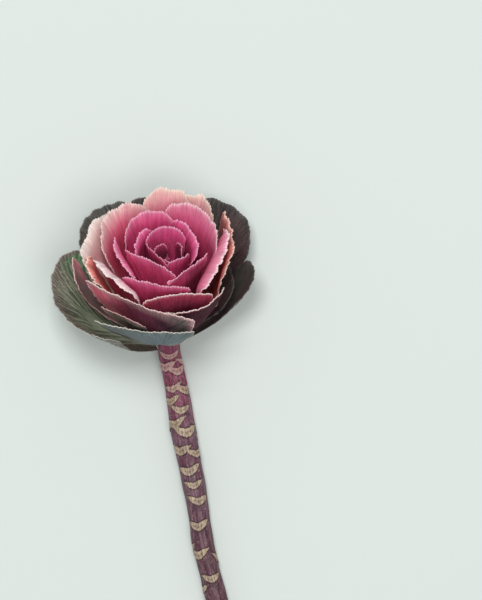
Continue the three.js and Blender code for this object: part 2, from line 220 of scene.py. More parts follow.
LOOKS = {
    "green_open": leaf_look(
        inner=[(0, 0x7E6E6A), (3, 0x685C58), (9, 0x605A50), (17, 0x58624E), (30, 0x586A52)],
        outer=[(0, 0x5C4E4C), (10, 0x545048), (30, 0x685656)],
        vein=0xBEC6AA, edge=0xC4C2B8,
        tints=[(-1, 0.45, 1, 0x4A8E5E, 0.8), (0.75, 0.6, 2, 0x74665C, 0.6)], base=GREEN,
        vein_share=0.95, vein_width=0.9, pucker=0.36, streak=0.3),
    "green_dark": leaf_look(
        inner=[(0, 0x686460), (2, 0x4C4C48), (9, 0x424440), (20, 0x38423A)],
        outer=[(0, 0x7C8482), (10, 0x6E7E7E), (30, 0x847480)],
        vein=0x7E7C72, edge=0x969088, tints=[(0.5, 0.7, 2, 0x543E46, 0.35)], base=GREEN,
        vein_share=0.5, streak=0.9),
    "green_front": leaf_look(
        inner=[(0, 0x60605C), (6, 0x48564E), (26, 0x465C50)],
        outer=[(0, 0xB0B0A8), (1.5, 0x86908A), (8, 0x7E9294), (18, 0x808A92), (32, 0x926278)],
        vein=0x526670, edge=0xE4DCD0, tints=[(-0.9, 0.9, 1.2, 0x746C5C, 0.9)], base=GREEN,
        vein_share=0.9, pucker=0.3, rough=0.6, streak=0.9, ruffle=0.15, lobe=0.25),
    "edging": leaf_look(
        inner=[(0, 0xF0C4C2), (1, 0xE2A0A8), (8, 0xD68C9A), (20, 0xAA6478), (34, 0x783C52)],
        outer=[(0, 0xD6B4AE), (1, 0x8C7478), (6, 0x685C64), (20, 0x5C4250)],
        vein=0xA08C8E, edge=0xF0CEC8,
        tints=[(-1, 2.0, 0.6, 0xFAB2B8, 0.9), (1, 1.5, 0.8, 0x70685E, 0.9)], base=PALE, tooth=0.8,
        lobe=0.5, ruffle=0.3, streak=0.7, vein_share=0.5, edge_width=0.5),
    "edging_front": leaf_look(
        inner=[(0, 0x82706C), (6, 0x684654), (26, 0x5C283E)],
        outer=[(0, 0xCEA0A0), (1, 0xB8968E), (4, 0xAC9A8A), (12, 0xB08E8A), (26, 0x96586C)],
        vein=0xCEB0A8, edge=0xD6A8A6, tints=[(0.95, 0.5, 0.5, 0x9EA092, 0.9)], base=GREEN,
        streak=0.8, tooth=0.5, ruffle=0.15, lobe=0.25),
    "cream": leaf_look(
        inner=[(0, 0xFFF4EA), (7, 0xFFE8DE), (13, 0xFFD2CC), (19, 0xF6A4B4), (28, 0xD46284)],
        outer=[(0, 0xF6D6CC), (3, 0xD6808A), (12, 0xB04864), (26, 0x782442)],
        vein=0xF4B4BC, edge=0xFFF6EC, base=PALE, comb=1.0, streak=0.15, pucker=0.08),
    "rose": leaf_look(
        inner=[(0, 0xFFE4DA), (3, 0xFDCAC8), (7, 0xF7A4B0), (12, 0xEC708E), (18, 0xD85070),
               (28, 0xB43A5C)],
        outer=[(0, 0xF6C8C8), (3, 0xD6788E), (12, 0xAA3E5E), (26, 0x74223E)],
        vein=0xD8608A, edge=0xFFE8E2, base=PALE),
    "peach": leaf_look(
        inner=[(0, 0xFEE6D4), (3, 0xF6C6C0), (8, 0xF0A8B0), (14, 0xE8849C), (26, 0xBE446A)],
        outer=[(0, 0xF6D0C2), (3, 0xD68082), (12, 0xAA445A), (26, 0x70223A)],
        vein=0xD26E82, edge=0xFFEEDE, base=PALE),
    "coral": leaf_look(
        inner=[(0, 0xFCD0C0), (1.5, 0xF69E92), (6, 0xF2867E), (16, 0xEC6C6A), (30, 0xC44A56)],
        outer=[(0, 0xF4BEB0), (2, 0xCE6E6A), (9, 0xAC4A54), (26, 0x682234)],
        vein=0xB44250, edge=0xFDDCCC, base=PALE, bead=0.0),
    "dusky": leaf_look(
        inner=[(0, 0xFCD0C4), (1, 0xF09C8E), (5, 0xF48878), (14, 0xEC7470), (30, 0xB04652)],
        outer=[(0, 0xF0BAB0), (2, 0xC46868), (9, 0xA04650), (26, 0x642232)],
        vein=0x964C52, edge=0xFCD8CA, tints=[(1, 1.3, 0.3, 0xA66262, 1)], base=PALE, bead=0.0),
    "white_lip": leaf_look(
        inner=[(0, 0xFFEAE8), (4, 0xFCD6DA), (7, 0xF0A4B8), (11, 0xD25C7C), (24, 0x963052)],
        outer=[(0, 0xFAD6D8), (2, 0xE88CA0), (9, 0xCE5470), (26, 0x962E4C)],
        vein=0xDC6E92, edge=0xFFF0EE, base=PALE),
    "pink_lip": leaf_look(
        inner=[(0, 0xFAC4D0), (2, 0xF098B2), (6, 0xE87EA0), (12, 0xD0567E), (24, 0x882A4C)],
        outer=[(0, 0xF8C4CE), (2, 0xE27E96), (9, 0xC8506C), (26, 0x8C2C48)],
        vein=0xD65C88, edge=0xFEDEE2, base=PALE),
    "front_left": leaf_look(
        inner=[(0, 0xECA0AA), (4, 0xC45470), (14, 0x8C2C4A), (26, 0x5C1A32)],
        outer=[(0, 0xFCDCD2), (0.9, 0xDEA6A6), (4, 0xD6A8AC), (8, 0xD8A0A8), (12, 0xD06492),
               (17, 0xC8608C), (26, 0xA85876)],
        vein=0xC89298, edge=0xFFE4DE,
        # The first tint is a darker crimson band along the leaf's crease, painted shade; the other
        # two are its own coral left tail and grey right end.
        tints=[(-0.35, 0.35, 3, 0x9E3054, 0.85), (-1, 0.7, 1, 0xEC5E7A, 0.9),
               (1, 0.75, 1, 0x7A807A, 0.85)],
        base=CREASED),
    "front_right": leaf_look(
        inner=[(0, 0xF0A0AE), (4, 0xC85472), (14, 0x882846), (26, 0x58182E)],
        outer=[(0, 0xFAD6D2), (0.9, 0x643040), (2.5, 0x48222E), (9, 0x361A24), (20, 0x321822)],
        vein=0x682C3C, edge=0xFFE4DE, base=CREASED, rough=0.8, streak=0.9, net=0.5, gloss=0.1),
    "crimson": leaf_look(
        inner=[(0, 0xF4AAB4), (4, 0xCE5474), (12, 0xA03052), (26, 0x681C36)],
        outer=[(0, 0xFED6D2), (0.9, 0xE27C90), (3, 0xC84E6C), (9, 0xAC3C5A), (20, 0x70263C)],
        vein=0xD2647E, edge=0xFFE6E2, tints=[(0.15, 0.45, 5, 0x68283C, 0.5)], base=CREASED),
    "heart_open": leaf_look(
        inner=[(0, 0xFABAC8), (2.5, 0xF292B0), (8, 0xE8709A), (16, 0xCE4A76), (28, 0x962E4E)],
        outer=[(0, 0xF2B0C0), (2, 0xD66086), (9, 0xAC365C), (24, 0x681C36)],
        vein=0xCE4E7A, edge=0xFCD4DC, tints=[(-1, 0.9, 8, 0x7A344C, 0.7)], base=PALE, lobe=0.7),
    "heart": leaf_look(
        inner=[(0, 0xF6AAC4), (1.5, 0xF07CA4), (6, 0xE8568C), (13, 0xD64074), (22, 0xA02A50)],
        outer=[(0, 0xF8B6CA), (1.2, 0xEC74A0), (6, 0xE45688), (13, 0xCE406E), (22, 0x8C2846)],
        vein=0xE06492, edge=0xF7B6CE, tooth=0.8),
    "inner": leaf_look(
        inner=[(0, 0xF49ABE), (1.5, 0xE45E92), (6, 0xCE3C70), (14, 0x8C2246)],
        outer=[(0, 0xF69CC0), (1.5, 0xE25C90), (6, 0xCE3C6E), (14, 0x8E2448)],
        vein=0xE26A98, edge=0xF4A8C8, tooth=0.75, lobe=0.3, ruffle=0.4, pucker=0.18),
    "bud": leaf_look(
        inner=[(0, 0xCE5C80), (1.5, 0xA43458), (6, 0x70223C)],
        outer=[(0, 0xD86288), (1.5, 0xB0365E), (6, 0x7E2642)],
        vein=0xBA5076, edge=0xE496B0, tooth=0.5, lobe=0.2, ruffle=0.3, pucker=0.12),
}
# green_dark with painted shade, for the leaves on the shaded right side: a dark edge in place of
# the pale one, and a darker inner face and veins.
LOOKS["green_deep"] = {
    **LOOKS["green_dark"], "edge": 0x605A56, "streak": 0.9, "vein": 0x665E58, "gloss": 0.2,
    "inner": [(0, 0x605C58), (2, 0x464442), (9, 0x3E3E3C), (20, 0x383E38)],
    "tints": [(-1, 1.3, 2, 0x603E46, 0.7)],
}
# The look of heart_leaf_front_right: a dark band just right of its middle, partly painted shadow
# and partly the leaf's purple colouring, and a redder right end.
LOOKS["heart_shade"] = {
    **LOOKS["heart"], "tints": [(0.35, 0.6, 1.5, 0x602C3E, 0.8), (1, 0.6, 1, 0xA83E5A, 0.7)],
}

# ---- The leaves ----
# One row a leaf, from the outside in: node, look, azimuth of its middle, the edge's radius at its
# clockwise end, middle and other end, the edge's height, half its width, the foot's height, how far
# the lip rolls out, how much the corners drop, the bowl and, for some, the foot's share of the
# angle. These are the CAD model's own numbers.
LEAVES = [
    ("green_leaf_left", "green_open", 189.5, (62.5, 62.8, 45), 48, 46.8, 0.5, 4, 0.12, 0.35),
    ("green_leaf_right", "green_deep", 17, (44, 50, 50.5), 47, 14, 2, 2, 0.3, 0.4),
    ("green_leaf_back_left", "green_dark", 120.5, (67.5, 73.9, 67), 43.4, 29, 5, 4, 0.25, 0.32),
    ("green_leaf_back_right", "green_deep", 60, (60, 68, 67), 50, 28, 5.5, 4, 0.3, 0.6),
    ("green_leaf_front", "green_front", 255.2, (56.4, 49.8, 49), 69, 29, 9, 2, 0.1, 0.25, 0.1),
    ("edging_leaf_back", "green_dark", 103, (51, 52.5, 51), 67, 24, 8, 3, 0.3, 0.6),
    ("edging_leaf_front", "edging_front", 236, (47.5, 45.3, 46), 70, 15, 11.9, 1, 0.1, 0.28, 0.4),
    ("edging_leaf_left", "edging", 180.5, (53, 52, 51.5), 67, 10.4, 10.2, 2, 0.12, 0.6),
    ("edging_leaf_right", "green_deep", 20, (36, 38, 40), 46, 13, 10.8, 3, 0.3, 0.6),
    ("pink_leaf_outer_back", "peach", 69, (44.5, 47, 47), 76, 12.5, 11.6, 4, 0.25, 0.7),
    ("pink_leaf_front_right", "front_right", 299.5, (35.2, 38.6, 36), 72, 21.3, 15.4, 2, 0.05, 0.5),
    ("pink_leaf_front_left", "front_left", 243, (47.3, 36.4, 46), 74, 29.5, 14.2, 2, 0.04, 0.52),
    ("pink_leaf_left_low", "coral", 191.5, (44, 43.4, 39.6), 73, 14.4, 17, 4, 0.07, 0.52),
    ("pink_leaf_left_back", "cream", 157, (48, 46.5, 46.8), 76, 18.7, 15.2, 4, 0.1, 0.72),
    ("pink_leaf_right_low", "dusky", 12.5, (32.8, 36.6, 48.5), 72.8, 24.5, 17.6, 3, 0.08, 0.7),
    ("pink_leaf_back", "peach", 91, (43, 47, 44), 78, 16, 18.3, 4, 0.2, 0.7),
    ("pink_leaf_mid_front_right", "crimson", 281, (34, 28.8, 35.8), 77, 17.5, 19.4, 1, 0.1, 0.6),
    ("pink_leaf_mid_left", "white_lip", 210.5, (41, 34.4, 33.4), 77, 18.4, 20.5, 1.5, 0.05, 0.5),
    ("pink_leaf_back_left", "rose", 141, (41.8, 43, 32.6), 78, 29, 21.6, 4, 0.2, 0.7),
    ("pink_leaf_mid_right", "pink_lip", 350, (30.2, 29.5, 37.4), 78, 22, 22.5, 3, 0.05, 0.6),
    ("heart_leaf_back_right", "heart_open", 48, (25.5, 34, 39.5), 80, 27, 24.2, 4, 0.2, 0.65),
    ("heart_leaf_front", "heart", 255, (29, 23.5, 25.8), 79, 18.3, 25.6, 1, 0.08, 0.7),
    ("heart_leaf_left", "heart", 191.5, (31, 25.6, 24.6), 80, 14.6, 27, 2.5, 0.03, 0.7),
    ("heart_leaf_back", "heart", 117, (28, 31, 26.5), 80, 21, 28, 3, 0.25, 0.75),
    ("heart_leaf_front_right", "heart_shade", 314, (21.5, 18.2, 21.5), 81, 14, 29.5, 2, 0.03, 0.75),
    ("inner_leaf_right", "inner", 33, (14.4, 17.5, 26), 80, 16.2, 31, 2.5, 0.1, 0.8),
    ("inner_leaf_front_left", "heart", 230, (23.5, 12.5, 17.5), 83, 12, 32.5, 1, 0.08, 0.8),
    ("inner_leaf_left", "inner", 150, (22, 18.8, 17), 80, 12, 34, 2, 0.15, 0.8),
    ("inner_leaf_back", "inner", 96, (16.5, 17.5, 16.5), 80, 13, 36.5, 2, 0.1, 0.8),
    ("bud_leaf_left", "bud", 208, (14, 8, 9), 82, 9, 37, 0.5, 0.1, 0.8),
    ("bud_leaf_right", "inner", 317, (7, 8.4, 12), 80, 7, 38.5, 0.5, 0.1, 0.8),
    ("bud_leaf_back_right", "bud", 35, (8, 9.3, 11), 79, 5, 40, 0.5, 0.15, 0.8),
    ("bud_leaf_back_left", "bud", 130, (7, 7.3, 8), 79, 5, 41.5, 0.5, 0.15, 0.8),
    ("bud_leaf_front", "bud", 250, (4.4, 4.4, 4.6), 78, 4, 43, 0, 0.2, 0.8),
]

# Leaves whose edge turns outwards beyond the CAD model's lip: by how far, over what length, and how
# far the leaf is drawn in below that, mm.
CURLS = {
    "pink_leaf_left_back": (1.5, 7, 0), "pink_leaf_left_low": (1, 6, 1.5),
    "pink_leaf_right_low": (0, 7, 2), "pink_leaf_mid_left": (1, 8, 4),
    "pink_leaf_mid_right": (1.2, 12, 5), "heart_leaf_left": (1.2, 6.5, 1.6),
    "inner_leaf_right": (1.2, 7, 1.2), "inner_leaf_left": (1, 6, 0.8),
}
NECK_REACH = 3.2  # times the curl's length, from the edge to where that drawing in ends


# ---- Small helpers ----
def mix(a, b, share):
    return a + (b - a) * share


def clamp(x):
    return np.clip(x, 0, 1)


def smooth(x):
    x = clamp(x)
    return x * x * (3 - 2 * x)


def core_radius(height):
    return mix(CORE_RADIUS, CORE_TIP_RADIUS, clamp(height / CORE_TOP))


def to_part_frame(points):
    """Points in mm in the head's frame, as metres in the part's frame."""
    return (HEAD_BASE + points @ HEAD_AXES) * MM


def unit(vectors):
    return vectors / np.maximum(np.linalg.norm(vectors, axis=-1, keepdims=True), 1e-9)


class Wobble:
    """Smooth random waviness in one or two directions, mostly from -1 to 1."""

    def __init__(self, rng, wavelength, waves=7):
        turn = rng.uniform(0, 2 * math.pi, waves)
        length = wavelength * rng.uniform(0.6, 1.7, waves)
        self.x = 2 * math.pi * np.cos(turn) / length
        self.y = 2 * math.pi * np.sin(turn) / length
        self.phase = rng.uniform(0, 2 * math.pi, waves)

    def __call__(self, x, y=0.0):
        x, y = np.broadcast_arrays(np.asarray(x, float), np.asarray(y, float))
        waves = np.sin(x[..., None] * self.x + y[..., None] * self.y + self.phase)
        return waves.sum(-1) / len(self.phase) ** 0.5


def along_line(points, axis):
    """Distance run along a grid of points, in one direction of the grid."""
    steps = np.linalg.norm(np.diff(points, axis=axis), axis=-1)
    run = np.cumsum(steps, axis=axis)
    start = np.zeros_like(np.take(run, [0], axis=axis))
    return np.concatenate([start, run], axis=axis)


def new_object(name, data):
    thing = bpy.data.objects.new(name, data)
    bpy.context.scene.collection.objects.link(thing)
    return thing


def new_mesh(name, points, faces, attributes):
    """A smooth-shaded mesh object from points in metres, face arrays and numbers at its points."""
    mesh = bpy.data.meshes.new(name)
    mesh.vertices.add(len(points))
    mesh.vertices.foreach_set("co", points.astype(np.float32).ravel())
    corners = np.concatenate([f.ravel() for f in faces])
    sizes = np.concatenate([np.full(len(f), f.shape[1]) for f in faces])
    mesh.loops.add(len(corners))
    mesh.loops.foreach_set("vertex_index", corners.astype(np.int32))
    mesh.polygons.add(len(sizes))
    mesh.polygons.foreach_set("loop_start", (np.cumsum(sizes) - sizes).astype(np.int32))
    mesh.update(calc_edges=True)
    mesh.polygons.foreach_set("use_smooth", np.ones(len(sizes), bool))
    for key, values in attributes.items():
        kind, field = ("FLOAT", "value") if values.ndim == 1 else ("FLOAT_VECTOR", "vector")
        layer = mesh.attributes.new(key, kind, "POINT")
        layer.data.foreach_set(field, values.astype(np.float32).ravel())
    return new_object(name, mesh)


# ---- A leaf's surface ----
class Leaf:
    """A row of the leaf table, and the plain surface it describes, in mm in the head's frame."""

    def __init__(self, row, number):
        (self.name, self.look, azimuth, self.rim, self.height, self.width, self.foot, self.lip,
         self.corner, self.bowl) = row[:10]
        self.base = row[10] if len(row) > 10 else WIDE_BASE
        self.azimuth = math.radians(azimuth)
        self.number = number

    def arch(self, across):
        """How far along the leaf its edge lies, by place across it: less at the corners."""
        dome = clamp(1 - np.abs(across) ** CORNER_POWER) ** (1 / CORNER_POWER)
        return 1 - self.corner * (1 - dome)

    def surface(self, across, share):
        """The leaf's middle surface: across from -1 to 1, share of the way to the edge."""
        along = share * self.arch(across)
        quarter = along * math.pi / 2
        outward = mix(along, np.sin(quarter), self.bowl)
        upward = mix(along, 1 - np.cos(quarter), self.bowl)
        first, middle, last = self.rim
        rim = middle + (last - first) / 2 * across + ((last + first) / 2 - middle) * across**2
        foot = core_radius(self.foot) + LEAF_GAP + CAD_THICKNESS / 2
        lip = self.lip * (1 - across**2)
        roll = clamp((share - LIP_FROM) / (1 - LIP_FROM)) ** 2
        radius = mix(foot, rim - lip, outward) + lip * roll
        height = mix(self.foot, self.height, upward)
        half = self.width / middle * mix(self.base, 1, np.sin(math.pi / 2 * share))
        angle = self.azimuth + across * half
        return np.stack([radius * np.cos(angle), radius * np.sin(angle), height], -1)


# ---- Veins ----
def vein_lines(rng, length):
    """A leaf's veins as runs of (across, share, strength, width in mm)."""
    steps = np.linspace(0, 1, 90)
    fork_steps = np.linspace(0, 1, 45)
    wander = Wobble(rng, 0.9)
    lines = [(0.02 * wander(steps), 0.97 * steps, mix(1.0, 0.8, steps), mix(*MIDRIB_WIDTH, steps))]
    pairs = 7 if length > LONG_LEAF else 5
    for side in (-1, 1):
        for pair in range(pairs):
            # The lowest pairs start near the foot and spread widest.
            place = pair / pairs
            start = mix(0.04, 0.66, place) + rng.uniform(-0.02, 0.02)
            end = side * (mix(0.99, 0.1, place**0.9) + rng.uniform(-0.03, 0.03))
            bend = rng.uniform(0.8, 1.0)
            curve = Wobble(rng, 0.8)
            across = np.clip(end * steps**bend + 0.012 * curve(steps), -1, 1)
            share = mix(start, 1, steps)
            lines.append((across, share, mix(1.0, 0.75, steps), mix(*SIDE_VEIN_WIDTH, steps)))
            for fork in range(VEIN_FORKS):
                at = int(rng.uniform(0.25, 0.75) * (len(steps) - 1))
                spread = rng.uniform(0.05, 0.13) * (1 if fork % 2 else -1)
                fork_across = mix(across[at], end + spread, fork_steps) + 0.008 * curve(fork_steps)
                lines.append((
                    np.clip(fork_across, -1, 1),
                    mix(share[at], 1, fork_steps),
                    mix(0.75, 0.5, fork_steps),
                    mix(*FORK_WIDTH, fork_steps),
                ))
    return [np.stack(np.broadcast_arrays(*line), -1) for line in lines]


def sample_grid(grid, rows, columns):
    """Values of a grid between its points."""
    row = np.clip(rows.astype(int), 0, grid.shape[0] - 2)
    column = np.clip(columns.astype(int), 0, grid.shape[1] - 2)
    down, right = (rows - row)[:, None], (columns - column)[:, None]
    upper = mix(grid[row, column], grid[row, column + 1], right)
    lower = mix(grid[row + 1, column], grid[row + 1, column + 1], right)
    return mix(upper, lower, down)


def vein_field(rng, flat, width):
    """At each grid point, how strong the nearest vein is there and how far off it is, in mm."""
    length = flat[-1, flat.shape[1] // 2, 1]
    samples = np.concatenate(vein_lines(rng, length))
    # The grid's columns are even in the arcsine of across, and its rows crowd towards the edge.
    columns = (np.arcsin(np.clip(samples[:, 0], -1, 1)) / math.pi + 0.5) * (flat.shape[1] - 1)
    rows = (1 - (1 - clamp(samples[:, 1])) ** (1 / ROW_CROWDING)) * (flat.shape[0] - 1)
    places = sample_grid(flat, rows, columns)
    tree = KDTree(len(places))
    for index, place in enumerate(places):
        tree.insert((place[0], place[1], 0), index)
    tree.balance()
    found = [tree.find((x, y, 0))[1:] for x, y in flat.reshape(-1, 2)]
    nearest = np.array([index for index, _ in found])
    distance = np.array([away for _, away in found])
    strength = samples[nearest, 2] * np.exp(-((distance / samples[nearest, 3] / width) ** 2))
    return strength.reshape(flat.shape[:2]), distance.reshape(flat.shape[:2])


# ---- Building a leaf ----
def directions(points):
    """At each point of a leaf's grid: the ways to its edge, to its right and out of its back."""
    outward = unit(np.gradient(points, axis=0))
    rightward = unit(np.gradient(points, axis=1))
    return outward, rightward, unit(np.cross(rightward, outward))


class Blade:
    """A leaf's plain middle surface as a grid of points, with distances over it in mm."""

    def __init__(self, leaf):
        rim_run = along_line(leaf.surface(np.linspace(-1, 1, 200), np.ones(200)), 0)[-1]
        length = along_line(leaf.surface(np.zeros(80), np.linspace(0, 1, 80)), 0)[-1]
        columns = 4 * max(12, int(rim_run / COLUMN_PITCH / 4))
        rows = max(24, int(length / ROW_PITCH / ROW_CROWDING))
        across_line = np.sin(math.pi / 2 * np.linspace(-1, 1, columns + 1))
        share_line = 1 - (1 - np.linspace(0, 1, rows + 1)) ** ROW_CROWDING
        self.share, self.across = np.meshgrid(share_line, across_line, indexing="ij")
        self.points = leaf.surface(self.across, self.share)
        self.outward, self.rightward, self.normal = directions(self.points)

        up, sideways = along_line(self.points, 0), along_line(self.points, 1)
        self.from_foot = up
        self.to_top, self.to_left = up[-1] - up, sideways
        self.to_right = sideways[:, -1:] - sideways
        self.edge = np.minimum(np.minimum(self.to_top, self.to_left), self.to_right)
        self.flat = np.stack([sideways - sideways[:, [columns // 2]], up], -1)
        # Runs that number the teeth: up the left side, over the top and down the right side.
        self.left_run = up[:, [0]]
        self.top_run = sideways[-1] + up[-1, 0]
        self.right_run = (2 * sideways[-1, -1] + up[-1, 0] - up[:, -1])[:, None]

    def nearest_run(self):
        """The run of the part of the edge that is nearest to each point."""
        side_run = np.where(self.to_left < self.to_right, self.left_run, self.right_run)
        near_top = self.to_top <= np.minimum(self.to_left, self.to_right)
        return np.where(near_top, self.top_run, side_run)


class Margin:
    """The shape of a leaf's edge along its run: fine even teeth on slow uneven lobes."""

    def __init__(self, seed, look):
        rng = np.random.default_rng(seed)
        self.pitch = TOOTH_PITCH * rng.uniform(0.92, 1.08)
        self.uneven, self.large, self.slow = Wobble(rng, 5), Wobble(rng, 6), Wobble(rng, LOBE_PITCH)
        self.tooth, self.lobe = look["tooth"], look["lobe"]

    def phase(self, run):
        """Counts the teeth: whole numbers are the notches between them."""
        return run / self.pitch + 0.3 * self.uneven(run)

    def teeth(self, run):
        rounded = np.abs(np.sin(math.pi * self.phase(run))) ** 1.3
        return self.tooth * (rounded - 0.5) * (1 + 0.3 * self.large(run))

    def lobes(self, run):
        return self.lobe * self.slow(run)


def reach_share(distance, reach):
    return clamp(1 - distance / reach) ** 1.5


def toothed(blade, margin):
    """The blade's points with its edge moved by the teeth and lobes, in the leaf's own surface."""
    points = blade.points.copy()
    for distance, run, way in (
        (blade.to_top, blade.top_run, blade.outward),
        (blade.to_left, blade.left_run, -blade.rightward),
        (blade.to_right, blade.right_run, blade.rightward),
    ):
        move = margin.teeth(run) * reach_share(distance, TOOTH_REACH)
        if way is blade.outward:
            move = move + margin.lobes(run) * reach_share(distance, LOBE_REACH)
        points += way * move[..., None]
    return points


def undulation(blade, rng, ruffle_size):
    """Ruffles and a fine frill near the edge, and slow waves all over."""
    run = blade.nearest_run()
    bend, swell, fine = Wobble(rng, 14), Wobble(rng, 24), Wobble(rng, 6)
    ruffle = np.sin(2 * math.pi * run / RUFFLE_PITCH + 1.5 * bend(run)) * (0.7 + 0.3 * fine(run))
    ruffle = ruffle * ruffle_size * np.exp(-blade.edge / RUFFLE_REACH * RUFFLE_FADE)
    frill = FRILL * np.sin(2 * math.pi * run / FRILL_PITCH + 2 * fine(run))
    frill = frill * np.exp(-blade.edge / FRILL_REACH)
    return ruffle + frill + SWELL * swell(blade.flat[..., 0], blade.flat[..., 1])


def curled(blade, name):
    """How far the leaf is turned outwards near its edge, less how far it is drawn in below."""
    turned, reach, neck = CURLS.get(name, (0, 1, 0))
    lip = (turned + neck) * clamp(1 - blade.to_top / reach) ** 2
    drawn = neck * smooth(1 - blade.to_top / reach / NECK_REACH)
    return (lip - drawn) * (1 - blade.across**8)


def build_leaf(leaf):
    look = LOOKS[leaf.look]
    rng = np.random.default_rng(100 + leaf.number)
    blade = Blade(leaf)
    margin = Margin(900 + leaf.number, look)
    veins, vein_distance = vein_field(rng, blade.flat, look["vein_width"])
    free = smooth(blade.share * 2.2 - 0.7)  # 0 near the foot, which holds still
    shift = undulation(blade, rng, look["ruffle"]) * free
    raised = np.minimum(vein_distance / PUCKER_SIZE, 1) ** 0.7
    pucker = look["pucker"] * raised * smooth(blade.edge / PUCKER_FROM) * free
    curl = curled(blade, leaf.name)
    point = toothed(blade, margin) + blade.normal * (shift - pucker + curl)[..., None]
    point = point - blade.outward * (CURL_LEAN * curl)[..., None]

    # Both faces of the sheet, with the veins raised on its back.
    normal = directions(point)[2]
    half = mix(EDGE_THICKNESS, THICKNESS, smooth(blade.edge / THINNING_REACH)) / 2
    outer_face = point + normal * (half + RIB_HEIGHT * veins * free)[..., None]
    inner_face = point - normal * half[..., None]

    across_flow = blade.across * leaf.width / (0.35 + 0.65 * blade.share)
    apart = np.full(blade.across.shape, leaf.number * 7.3)  # so that no two leaves' noise is alike
    return sheet_piece(leaf.name, outer_face, inner_face, {
        "edge": blade.edge,
        "vein": veins,
        "flow": np.stack([across_flow, blade.from_foot, apart], -1),
        "teeth": np.broadcast_to(margin.phase(blade.top_run), blade.across.shape),
        "across": blade.across,
    })


def row_steps(rows):
    """How many columns apart the mesh's points are in each row: fewer towards the leaf's edge."""
    place = np.arange(rows + 1) / rows
    return np.where(place > 1 - FINE_ROWS, 1, np.where(place > COARSE_ROWS, 2, 4))


def face_rows(number, steps):
    """Faces between the rows of a grid of point numbers, where each row keeps its own columns."""
    quads, fives = [], []
    for row in range(len(steps) - 1):
        low, high = number[row, ::steps[row]], number[row + 1, ::steps[row + 1]]
        if len(low) == len(high):
            quads.append(np.stack([low[:-1], low[1:], high[1:], high[:-1]], -1))
        else:
            fives.append(np.stack([low[:-1], low[1:], high[2::2], high[1::2], high[:-2:2]], -1))
    return [np.concatenate(quads), np.concatenate(fives)]


def sheet_piece(name, outer_face, inner_face, fields):
    """A closed sheet from its two faces, with the same numbers at both faces' points."""
    steps = row_steps(outer_face.shape[0] - 1)
    kept = np.arange(outer_face.shape[1]) % steps[:, None] == 0
    count = kept.sum()
    number = np.full(kept.shape, -1)
    number[kept] = np.arange(count)
    outer = face_rows(number, steps)
    inner = [faces[:, ::-1] + count for faces in outer]
    foot = number[0, ::steps[0]]
    ring = np.concatenate([foot[:-1], number[:-1, -1], number[-1, :0:-1], number[:0:-1, 0]])
    following = np.roll(ring, -1)
    sides = np.stack([ring, ring + count, following + count, following], -1)
    points = np.concatenate([outer_face[kept], inner_face[kept]])
    attributes = {key: np.concatenate([values[kept]] * 2) for key, values in fields.items()}
    attributes["underside"] = np.repeat([1.0, 0.0], count)
    return new_mesh(name + "_detailed", to_part_frame(points), [*outer, *inner, sides], attributes)


# ---- The bud ----
def build_bud():
    """The closed bud inside the last leaves: an egg of small leaves folded round in a spiral."""
    turn = np.linspace(0, 2 * math.pi, BUD_SIDES, endpoint=False)
    share = np.linspace(0.004, 0.996, BUD_RINGS)[:, None]
    fold = (BUD_FOLDS * turn / (2 * math.pi) + 2.2 * share) % 1
    radius = BUD_RADIUS * (np.sin(math.pi * share) ** 0.5) * (0.82 + 0.18 * fold)
    height = CORE_TOP + LEAF_GAP + BUD_LENGTH * (1 - np.cos(math.pi * share)) / 2
    wall = np.stack(np.broadcast_arrays(radius * np.cos(turn), radius * np.sin(turn), height), -1)
    ends = [[0, 0, CORE_TOP + LEAF_GAP], [0, 0, CORE_TOP + LEAF_GAP + BUD_LENGTH]]
    points, faces = tube(wall, ends)
    folds = np.concatenate([fold.ravel(), [0.5, 0.5]])
    return new_mesh("bud_detailed", to_part_frame(points), faces, {"fold": folds, "flow": points})


def tube(rings, ends):
    """Points and faces of a closed tube: rings of points, and a middle point for each end."""
    count, sides = rings.shape[:2]
    number = np.arange(count * sides).reshape(count, sides)
    beside = np.roll(number, -1, axis=1)
    wall = np.stack([number[:-1], beside[:-1], beside[1:], number[1:]], -1).reshape(-1, 4)
    first = np.full(sides, number.size)
    start = np.stack([first, beside[0], number[0]], -1)
    finish = np.stack([first + 1, number[-1], beside[-1]], -1)
    return np.concatenate([rings.reshape(-1, 3), ends]), [wall, start, finish]


# ---- The stem ----
def stem_line():
    """The stem's middle line and its length so far, by the CAD model's centripetal curve."""
    core = [height * HEAD_AXES[2] for height in (4, 20, CORE_TOP)]
    points = np.array([*STEM_LINE, *core])
    points = np.concatenate([[2 * points[0] - points[1]], points, [2 * points[-1] - points[-2]]])
    pieces = []
    for p in (points[i:i + 4] for i in range(len(points) - 3)):
        gaps = np.linalg.norm(np.diff(p, axis=0), axis=1) ** 0.5
        start = ((p[1] - p[0]) / gaps[0] - (p[2] - p[0]) / (gaps[0] + gaps[1])
                 + (p[2] - p[1]) / gaps[1]) * gaps[1]
        finish = ((p[2] - p[1]) / gaps[1] - (p[3] - p[1]) / (gaps[1] + gaps[2])
                  + (p[3] - p[2]) / gaps[2]) * gaps[1]
        t = np.linspace(0, 1, 60, endpoint=False)[:, None]
        pieces.append(p[1] + start * t + (3 * (p[2] - p[1]) - 2 * start - finish) * t**2
                      + (2 * (p[1] - p[2]) + start + finish) * t**3)
    line = np.concatenate([*pieces, points[-2:-1]])
    return line, along_line(line, 0)


def stem_scars(bare_length):
    """The leaf scars, as (mm from the cut end, angle round the stem from its top)."""
    scars = [(bare_length - below, math.radians(angle)) for below, angle in TOP_SCARS]
    lowest = bare_length - TOP_SCARS[-1][0]
    for step in range(1, int(bare_length / SCAR_STEP)):
        distance, angle = step * SCAR_STEP, math.remainder(step * SCAR_TURN, 2 * math.pi)
        if distance < lowest - SCAR_STEP or abs(angle) > HIDDEN_FROM:
            scars.append((distance, angle))
    return scars


